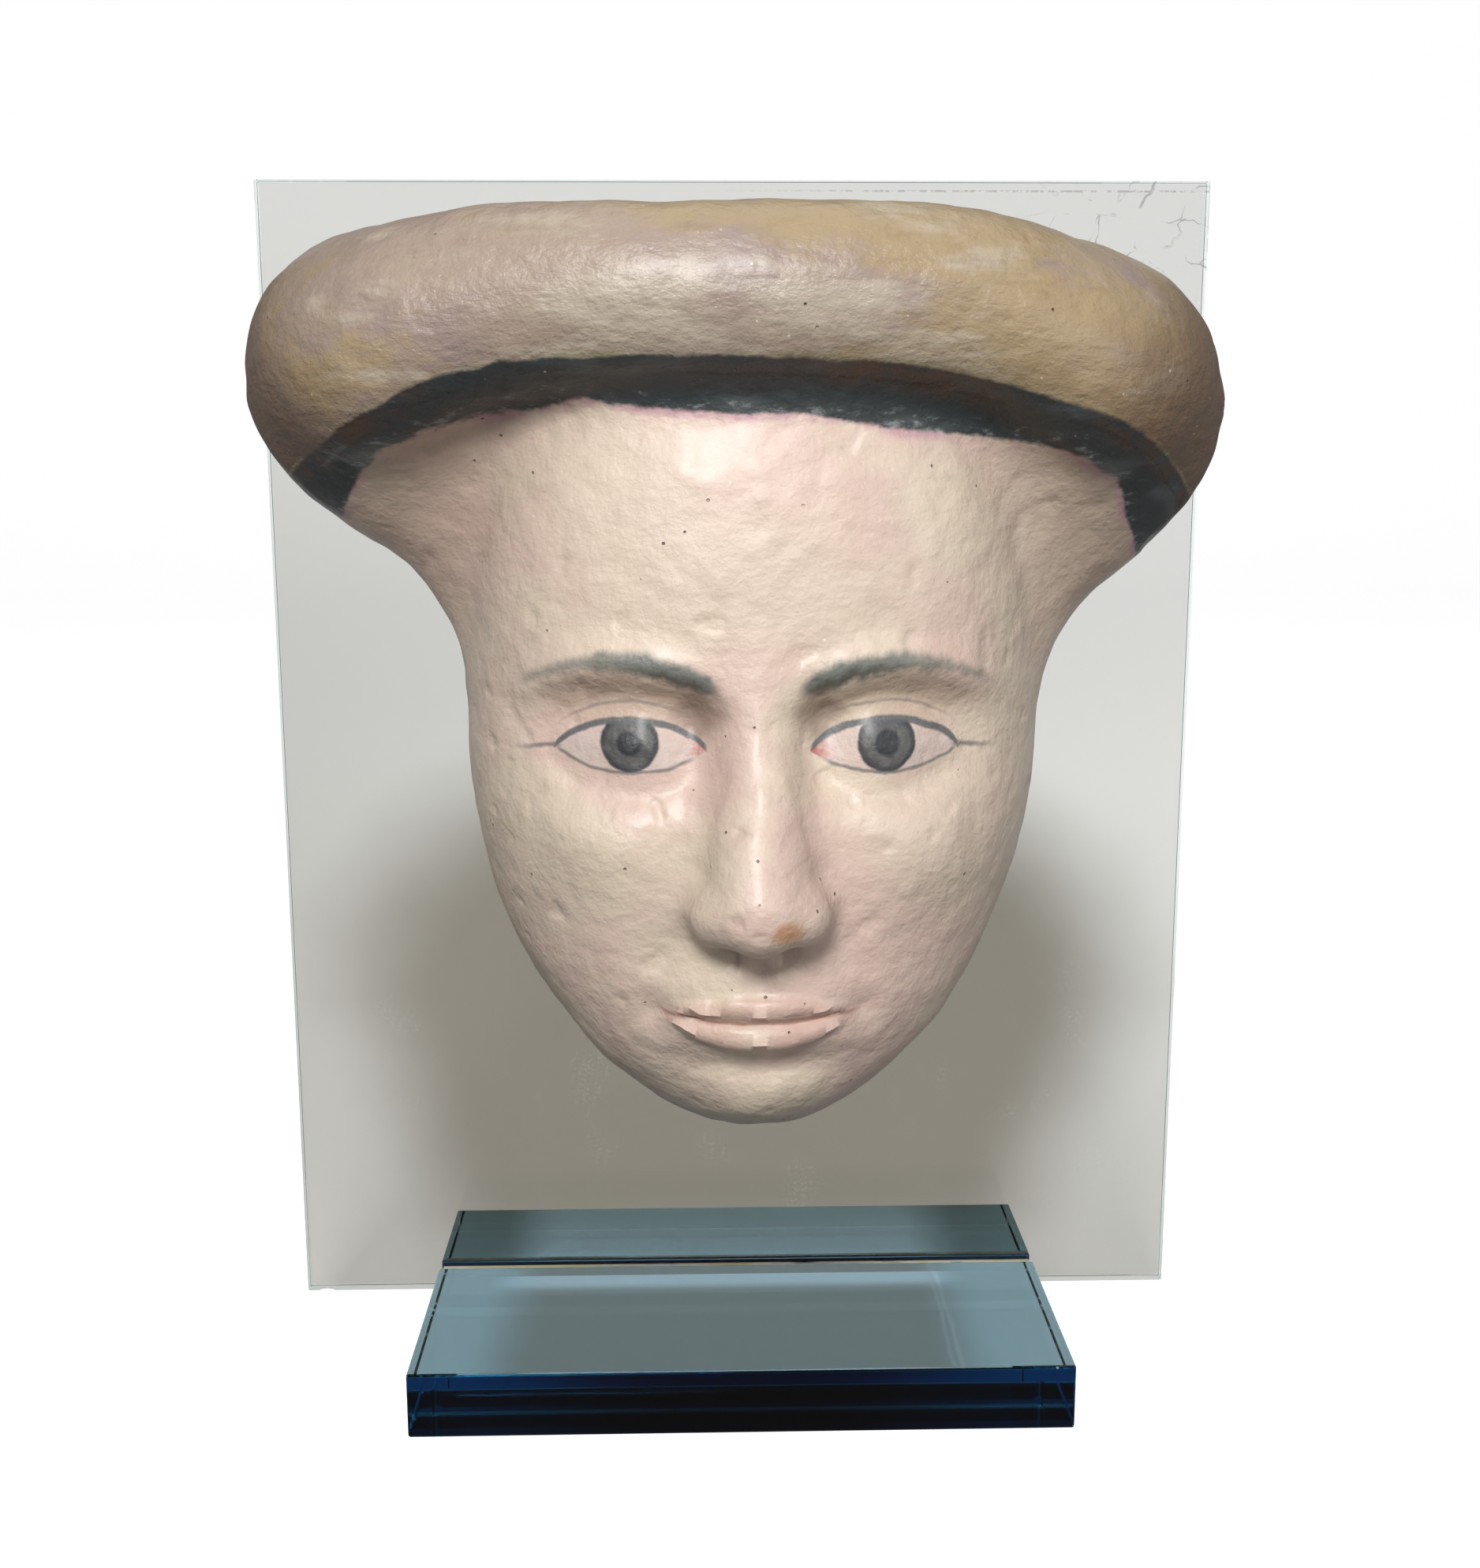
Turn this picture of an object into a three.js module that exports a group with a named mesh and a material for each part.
// Painted plaster mummy mask with a hair roll, on its clear upright panel and blue base block.
// Millimetres, +Z up, the face looks along -Y. The origin is the centre of the block's underside.

import * as THREE from "three";

// Driving dimensions
const CLEARANCE = 0.3;
const BLOCK = { width: 142, depth: 85, height: 14.4 };
const PANEL = { width: 205, height: 254, thickness: 5 };
const SLOT_DEPTH = 6;
const PANEL_FRONT = 8;

// The mask hangs on the panel's front face: its unit is the width of one eye
const EYE = 25;
const CHIN_HEIGHT = 62;
const FACE_OFFSET = 3;
const WALL = 9;

// Canon of the face in eye widths, from the chin up: five wide, six high, three equal parts
const THIRD = 2;
const NOSE_BASE = THIRD;
const BROW = 2 * THIRD;
const HALF_WIDTH = 2.5;
const FACE_DEPTH = 2.42;
const WIDEST = 3.52;
const CROWN = 7.36;
const EYE_X = 1;
const EYE_HEIGHT = BROW - 0.52;
const MOUTH = NOSE_BASE - THIRD / 3;
const MOUTH_HALF = 0.82;

// The hair roll in eye widths: a cap with a round edge, thicker and lower at both ends
const ROLL = { x: -0.13, halfWidth: 3.09, depth: 2, height: 6.89, radius: 0.7, bend: 2.77 };
const ROLL_END = { radius: 1.04, leftDrop: 0.44, rightDrop: 0.62 };

// How far the cavity stays behind the front of the face, beyond the wall, to clear the eye sockets
const SOCKET_DEPTH = 0.36;

// Cells along each side of the grids that are laid on the two surfaces
const OUTER_CELLS = 62;
const INNER_CELLS = 28;

// Rays that find the two surfaces start in the rim's plane, inside the mask. Those that look for the underside of
// the roll's ends start higher and dip. The outer rows stand closer low down, and closest at the lips.
const OUTER_RAYS = { x: -0.115, middle: 3.38, spread: -0.3, up: 2.6, down: 1.69, even: 0.56, climb: 0.57, power: 1.5, lift: 1.9, dip: 0.44, lowRows: 0.08, lipRows: 0.5 };
const INNER_RAYS = { ...OUTER_RAYS, spread: -0.54, up: 2.3, down: 1.5, lift: 1.3, lowRows: 0, lipRows: 0 };
const END_RISE = { middle: 0.513, range: 0.17 };
const LIPS = { halfWidth: 1.2, halfHeight: 0.6 };
const RAY_STEP = 0.04;
const RAY_BISECTIONS = 16;

// How often the grids are evened out where neighbouring rays part, as they do under the roll, and the cells that
// are fine enough, in eye widths
const OUTER_ROUNDS = 24;
const INNER_ROUNDS = 18;
const FINE_CELL = 0.17;
const SLOPE_STEP = 0.01;

const { exp, sqrt, abs, min, max, hypot, sign, sin, cos, PI } = Math;

const clamp = (value, low = 0, high = 1) => min(max(value, low), high);

function smoothStep(from, to, value) {
  const t = clamp((value - from) / (to - from));
  return t * t * (3 - 2 * t);
}

// A soft hump of height 1 around the origin
const hump = (a, b, sizeA, sizeB) => exp(-((a / sizeA) ** 2) - (b / sizeB) ** 2);

// Blended union of two fields, negative inside
function join(a, b, blend) {
  const h = clamp(0.5 + (0.5 * (b - a)) / blend);
  return b * (1 - h) + a * h - blend * h * (1 - h);
}

function ellipsoid(a, b, c, sizeA, sizeB, sizeC) {
  return (sqrt((a / sizeA) ** 2 + (b / sizeB) ** 2 + (c / sizeC) ** 2) - 1) * min(sizeA, sizeB, sizeC);
}

// Nose: a tapering ridge on two side planes, and a wing on each side
function noseField(x, d, z) {
  const side = abs(x);
  const root = { z: BROW - 0.02, d: 2.09, radius: 0.19 };
  const tip = { z: NOSE_BASE + 0.29, d: 2.83, radius: 0.3 };
  const rise = tip.z - root.z;
  const reach = tip.d - root.d;
  const t = clamp(((z - root.z) * rise + (d - root.d) * reach) / (rise * rise + reach * reach));
  const offZ = z - root.z - t * rise;
  const offD = d - root.d - t * reach;
  const ridge = hypot(offZ, offD, side * (1.12 - 0.12 * t)) - root.radius - t * (tip.radius - root.radius);
  const planes = ellipsoid(side, offD + 0.3, max(z - root.z, 0) + max(tip.z - z, 0), 0.24 + 0.26 * t, 0.44, 0.34);
  const wing = ellipsoid(side - 0.34, d - 2.56, z - NOSE_BASE - 0.22, 0.2, 0.34, 0.22);
  return join(join(ridge, planes, 0.28), wing, 0.14);
}

// Mouth: two full lips that meet in a soft line
function mouthRelief(x, z) {
  const side = abs(x);
  const t = clamp(side / MOUTH_HALF);
  const full = sqrt(clamp(1 - t * t));
  const line = MOUTH + 0.036 * t * t;
  const upperHeight = max(0.25 * (1 - t ** 1.8) - 0.044 * hump(x, 0, 0.104, 1), 0.016);
  const lowerHeight = max(0.3 * (1 - t ** 2.4), 0.016);
  const above = clamp((z - line) / upperHeight);
  const below = clamp((line - z) / lowerHeight);
  const upper = 0.144 * full * (1 - (1 - above) ** 2.4) * (1 - above ** 2);
  const lower = 0.216 * full * (1 - (1 - below) ** 2) * (1 - below ** 2);
  const muzzle = 0.2 * hump(x, z - MOUTH - 0.04, 1, 0.6);
  const groove = 0.036 * smoothStep(1.12, 0.85, side / MOUTH_HALF) * hump(z - line, 0, 0.044, 1);
  const corner = 0.064 * hump(side - MOUTH_HALF - 0.02, z - MOUTH - 0.03, 0.144, 0.144);
  const fold = 0.104 * hump(x, z - MOUTH + 0.42, 0.6, 0.152);
  const furrow = 0.032 * hump(x, 0, 0.088, 1) - 0.018 * hump(side - 0.176, 0, 0.076, 1);
  const furrowEnds = smoothStep(MOUTH + 0.16, MOUTH + 0.36, z) * smoothStep(NOSE_BASE + 0.04, NOSE_BASE - 0.12, z);
  return muzzle + upper + lower - groove - corner - fold - furrow * furrowEnds;
}

// Eyes: shallow sockets with a smooth ball in each, left plain because lids and pupils are paint
function eyeRelief(x, z) {
  const side = abs(x);
  const socket = 0.256 * exp(-((abs(side - EYE_X) / 0.76) ** 2.4) - (abs(z - EYE_HEIGHT - 0.02) / 0.448) ** 2.6);
  const innerCorner = 0.12 * hump(side - 0.54, z - EYE_HEIGHT - 0.14, 0.26, 0.32);
  const ball = 0.224 * clamp(1 - ((side - EYE_X) / 0.68) ** 2 - ((z - EYE_HEIGHT) / 0.424) ** 2) ** 1.7;
  return ball - socket - innerCorner;
}

function browRelief(x, z) {
  const side = abs(x);
  const arch = BROW + 0.13 - 0.2 * ((side - 1.08) / 0.8) ** 2;
  const ends = smoothStep(2.16, 1.52, side) * (0.45 + 0.55 * smoothStep(0.16, 0.72, side));
  return 0.1 * ends * hump(z - arch, 0, 0.176, 1);
}

function faceRelief(x, z) {
  const side = abs(x);
  const chin = 0.16 * hump(x, z - 0.46, 0.56, 0.36);
  const cheek = 0.176 * hump(side - 1.32, z - 2.68, 0.6, 0.56);
  const temple = 0.072 * hump(side - 2.2, z - 4.4, 0.36, 0.68);
  const cheekFold = 0.052 * hump(side - 0.68 - (NOSE_BASE - z) * 0.28, z - 1.72, 0.18, 0.4);
  return mouthRelief(x, z) + eyeRelief(x, z) + browRelief(x, z) + chin + cheek - temple - cheekFold;
}

// The egg of the face, smaller by sideInset all round and by frontInset at the front
function eggField(x, d, z, sideInset = 0, frontInset = 0) {
  const low = z < WIDEST;
  const reach = low ? WIDEST - sideInset : CROWN - WIDEST - sideInset;
  const height = abs(z - WIDEST);
  const t = clamp(height / reach, 0, 0.99999);
  const [widthPower, depthPower] = low ? [2.05, 4] : [3.4, 3];
  const width = (HALF_WIDTH - sideInset) * (1 - t ** widthPower) ** (1 / widthPower);
  const depth = (FACE_DEPTH - frontInset) * (1 - t ** depthPower) ** (1 / depthPower);
  const power = 2.35;
  const ratio = ((abs(x) / width) ** power + (max(d, 0) / depth) ** power) ** (1 / power);
  return max((ratio - 1) * min(width, depth), height - reach);
}

function rollField(x, d, z) {
  const side = abs(x - ROLL.x) + 1e-6;
  const front = max(d, 0);
  const power = 2.38;
  const ratio = ((side / ROLL.halfWidth) ** power + (front / ROLL.depth) ** power) ** (1 / power);
  const beyond = max(hypot(side, front) * (1 - 1 / ratio), 0);
  const share = (side / ROLL.bend) ** 5;
  const end = share / hypot(1, share);
  const radius = ROLL.radius + (ROLL_END.radius - ROLL.radius) * end;
  const drop = (x < ROLL.x ? ROLL_END.leftDrop : ROLL_END.rightDrop) * end;
  return hypot(beyond, z - ROLL.height + drop) - radius + 0.06 * smoothStep(0.9, 0, d);
}

// The roll meets the forehead in a tight hollow and the sides of the head in a wide one
function underRoll(x, d, z) {
  const below = smoothStep(ROLL.height + 0.2, ROLL.height - 0.8, z);
  return 0.36 + 2.2 * smoothStep(0.9, 2.6, abs(x - ROLL.x)) * smoothStep(2, 0.5, d) * below;
}

function maskField(x, d, z) {
  const egg = eggField(x, d - faceRelief(x, z) * smoothStep(0, 1, d), z);
  const face = join(egg, noseField(x, d, z), 0.26);
  return join(face, rollField(x, d, z), underRoll(x, d, z));
}

function cavityField(x, d, z) {
  const wall = WALL / EYE;
  const egg = eggField(x, d, z, wall, wall + SOCKET_DEPTH);
  return join(egg, rollField(x, d, z) + wall, underRoll(x, d, z));
}

// First exit of a ray from the inside of a field
function exitPoint(field, start, direction) {
  const inside = (s) => field(start.x + direction.x * s, direction.d * s, start.z + direction.z * s) < 0;
  let near = 0;
  while (inside(near + RAY_STEP)) near += RAY_STEP;
  let far = near + RAY_STEP;
  for (let i = 0; i < RAY_BISECTIONS; i++) {
    const middle = (near + far) / 2;
    if (inside(middle)) near = middle;
    else far = middle;
  }
  return [start.x + direction.x * far, direction.d * far, start.z + direction.z * far];
}

// A square grid wrapped on a half ball gives the rays
function castRay(field, rays, u, row) {
  const v = row - rays.lowRows * (1 - row * row);
  const turned = { across: u * sqrt(1 - (v * v) / 2), rise: v * sqrt(1 - (u * u) / 2) };
  const radius = hypot(turned.across, turned.rise);
  const angle = (rays.even * radius + (1 - rays.even) * radius ** 3) * (PI / 2);
  const scale = radius > 1e-9 ? sin(angle) / radius : 0;
  const across = turned.across * scale;
  const rise = turned.rise * scale;
  const toEnd = hump(rise - END_RISE.middle, 0, END_RISE.range, 1) * min(abs(across) / 0.7, 1.4);
  const climb = rays.climb * sign(rise) * abs(rise) ** rays.power;
  const direction = { x: across, d: max(cos(angle), 0), z: climb - rays.dip * toEnd };
  const start = {
    x: rays.x + across * rays.spread,
    z: rays.middle + rise * (rise > 0 ? rays.up : rays.down) + rays.lift * toEnd,
  };
  const reach = FACE_DEPTH / max(direction.d, 0.5);
  const fromLips = start.z + direction.z * reach - MOUTH;
  const drawn = hump(start.x + direction.x * reach, fromLips, LIPS.halfWidth, LIPS.halfHeight);
  start.z -= rays.lipRows * drawn * fromLips;
  return exitPoint(field, start, direction);
}

// A nearby point on a field's surface, by steps along its slope
function nearSurface(field, [x, d, z]) {
  for (let i = 0; i < 3; i++) {
    const slopeX = (field(x + SLOPE_STEP, d, z) - field(x - SLOPE_STEP, d, z)) / (2 * SLOPE_STEP);
    const slopeD = (field(x, d + SLOPE_STEP, z) - field(x, d - SLOPE_STEP, z)) / (2 * SLOPE_STEP);
    const slopeZ = (field(x, d, z + SLOPE_STEP) - field(x, d, z - SLOPE_STEP)) / (2 * SLOPE_STEP);
    const share = clamp(field(x, d, z) / (slopeX ** 2 + slopeD ** 2 + slopeZ ** 2), -0.2, 0.2);
    x -= slopeX * share;
    d = max(d - slopeD * share, 0);
    z -= slopeZ * share;
  }
  return [x, d, z];
}

// Points on a field's surface, in rows from the bottom of the rim to its top
function surfaceGrid(field, rays, cells, evenRounds) {
  const row = cells + 1;
  const onRim = (index) => index < row || index >= row * cells || index % row === 0 || index % row === cells;
  let grid = Array.from({ length: row * row }, (_, index) => {
    const [x, d, z] = castRay(field, rays, (2 * (index % row)) / cells - 1, (2 * Math.floor(index / row)) / cells - 1);
    return [x, onRim(index) ? 0 : d, z];
  });
  for (let round = 0; round < evenRounds; round++) {
    grid = grid.map((point, index) => {
      if (onRim(index)) return point;
      const around = [grid[index - 1], grid[index + 1], grid[index - row], grid[index + row]];
      const farthest = max(...around.map((other) => hypot(...other.map((value, axis) => value - point[axis]))));
      const share = smoothStep(FINE_CELL, 2 * FINE_CELL, farthest);
      if (share === 0) return point;
      const mean = point.map((_, axis) => around.reduce((sum, other) => sum + other[axis], 0) / 4);
      return nearSurface(field, point.map((value, axis) => value + (mean[axis] - value) * share));
    });
  }
  return grid.flatMap(([x, d, z]) => [x * EYE, -d * EYE, z * EYE]);
}

// Two triangles for each cell of a grid, turned round for an inner surface
function gridFaces(cells, first, inward) {
  const row = cells + 1;
  const faces = [];
  for (let i = 0; i < cells; i++) {
    for (let j = 0; j < cells; j++) {
      const corner = first + i * row + j;
      const right = corner + (inward ? row : 1);
      const up = corner + (inward ? 1 : row);
      faces.push(corner, right, corner + row + 1, corner, corner + row + 1, up);
    }
  }
  return faces;
}

// Vertices round the edge of a grid, anticlockwise from the front
function rimVertices(cells, first) {
  const row = cells + 1;
  const rim = [];
  for (let k = 0; k < cells; k++) rim.push(k);
  for (let k = 0; k < cells; k++) rim.push(k * row + cells);
  for (let k = cells; k > 0; k--) rim.push(cells * row + k);
  for (let k = cells; k > 0; k--) rim.push(k * row);
  return rim.map((index) => index + first);
}

// The flat rim: triangles between two loops, each time across the shorter diagonal
function rimFaces(points, outer, inner) {
  const gap = (a, b) => hypot(points[3 * a] - points[3 * b], points[3 * a + 2] - points[3 * b + 2]);
  const nearest = inner.reduce((best, index) => (gap(outer[0], index) < gap(outer[0], best) ? index : best));
  const first = inner.indexOf(nearest);
  const faces = [];
  for (let i = 0, j = 0; i < outer.length || j < inner.length; ) {
    const [here, next] = [outer[i % outer.length], outer[(i + 1) % outer.length]];
    const [across, beyond] = [inner[(first + j) % inner.length], inner[(first + j + 1) % inner.length]];
    if (j === inner.length || (i < outer.length && gap(next, across) < gap(here, beyond))) {
      faces.push(next, here, across);
      i++;
    } else {
      faces.push(across, beyond, here);
      j++;
    }
  }
  return faces;
}

function shellGeometry() {
  const outerPoints = surfaceGrid(maskField, OUTER_RAYS, OUTER_CELLS, OUTER_ROUNDS);
  const firstInner = outerPoints.length / 3;
  const points = [...outerPoints, ...surfaceGrid(cavityField, INNER_RAYS, INNER_CELLS, INNER_ROUNDS)];
  const geometry = new THREE.BufferGeometry();
  geometry.setAttribute("position", new THREE.Float32BufferAttribute(points, 3));
  geometry.setIndex([
    ...gridFaces(OUTER_CELLS, 0, false),
    ...gridFaces(INNER_CELLS, firstInner, true),
    ...rimFaces(points, rimVertices(OUTER_CELLS, 0), rimVertices(INNER_CELLS, firstInner)),
  ]);
  return geometry;
}

// Mask: one moulded shell, open at the back, with a flat rim
function mask() {
  const plaster = new THREE.MeshStandardMaterial({ color: 0xd9bfae, roughness: 0.5, metalness: 0, flatShading: true });
  const mesh = new THREE.Mesh(shellGeometry(), plaster);
  mesh.name = "mask";
  mesh.position.set(FACE_OFFSET, PANEL_FRONT - CLEARANCE, CHIN_HEIGHT);
  return mesh;
}

// Panel: the clear sheet that carries the mask and stands in the block's slot
function backPanel() {
  const acrylic = new THREE.MeshStandardMaterial({ color: 0xe4e8e8, roughness: 0.08, metalness: 0, transparent: true, opacity: 0.3 });
  const mesh = new THREE.Mesh(new THREE.BoxGeometry(PANEL.width, PANEL.thickness, PANEL.height), acrylic);
  mesh.name = "back_panel";
  const bottom = BLOCK.height - SLOT_DEPTH + CLEARANCE;
  mesh.position.set(0, PANEL_FRONT + PANEL.thickness / 2, bottom + PANEL.height / 2);
  return mesh;
}

// Block: a solid bar with one slot from end to end, drawn as its end profile
function baseBlock() {
  const slotFront = PANEL_FRONT - CLEARANCE;
  const slotBack = PANEL_FRONT + PANEL.thickness + CLEARANCE;
  const slotFloor = BLOCK.height - SLOT_DEPTH;
  const profile = new THREE.Shape();
  profile.moveTo(-BLOCK.depth / 2, 0);
  profile.lineTo(BLOCK.depth / 2, 0);
  profile.lineTo(BLOCK.depth / 2, BLOCK.height);
  profile.lineTo(slotBack, BLOCK.height);
  profile.lineTo(slotBack, slotFloor);
  profile.lineTo(slotFront, slotFloor);
  profile.lineTo(slotFront, BLOCK.height);
  profile.lineTo(-BLOCK.depth / 2, BLOCK.height);
  const geometry = new THREE.ExtrudeGeometry(profile, { depth: BLOCK.width, bevelEnabled: false });
  const [x, y, z] = [new THREE.Vector3(1, 0, 0), new THREE.Vector3(0, 1, 0), new THREE.Vector3(0, 0, 1)];
  geometry.applyMatrix4(new THREE.Matrix4().makeBasis(y, z, x));
  const acrylic = new THREE.MeshStandardMaterial({ color: 0x4a6f86, roughness: 0.1, metalness: 0, transparent: true, opacity: 0.6 });
  const mesh = new THREE.Mesh(geometry, acrylic);
  mesh.name = "base_block";
  mesh.position.set(-BLOCK.width / 2, 0, 0);
  return mesh;
}

const part = new THREE.Group();
part.name = "egyptian_mummy_mask";
part.add(mask(), backPanel(), baseBlock());

export default part;
